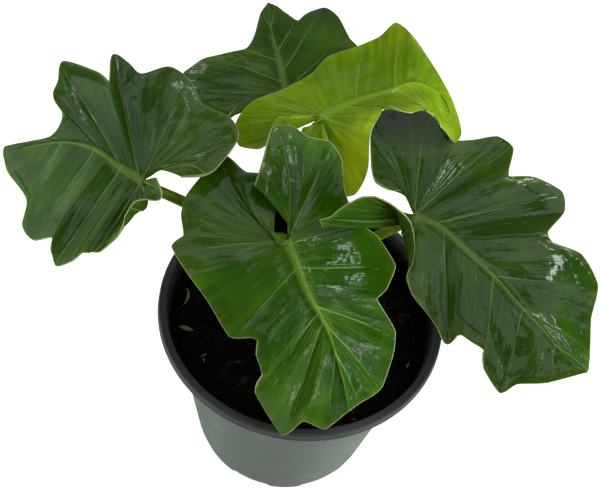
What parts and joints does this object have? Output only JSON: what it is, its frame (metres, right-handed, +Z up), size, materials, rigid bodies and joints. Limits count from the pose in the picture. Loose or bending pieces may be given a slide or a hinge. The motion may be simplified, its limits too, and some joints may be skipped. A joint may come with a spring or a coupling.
{
  "type": "potted atom philodendron",
  "caption": "Young potted philodendron: a short stem in a filled nursery pot, with arching stalks and large glossy lobed leaves, the newest one lime green.",
  "frame": {"origin": "middle of the pot's underside, on the surface the pot stands on", "axes": "+Z up along the pot's axis, -Y towards the picture's viewer, +X to the viewer's right"},
  "size_m": [0.3157, 0.2471, 0.2668],
  "materials": {
    "pot_plastic": "satin",
    "soil": "matte",
    "stalks": "satin",
    "leaf": "gloss",
    "young_leaf": "gloss"
  },
  "bodies": {
    "root": {"pot": "pot_plastic", "soil": "soil", "stems": "stalks", "leaf_front": "leaf", "leaf_right": "leaf", "leaf_left": "leaf", "leaf_back": "leaf", "leaf_young": "young_leaf"}
  },
  "joints": []
}
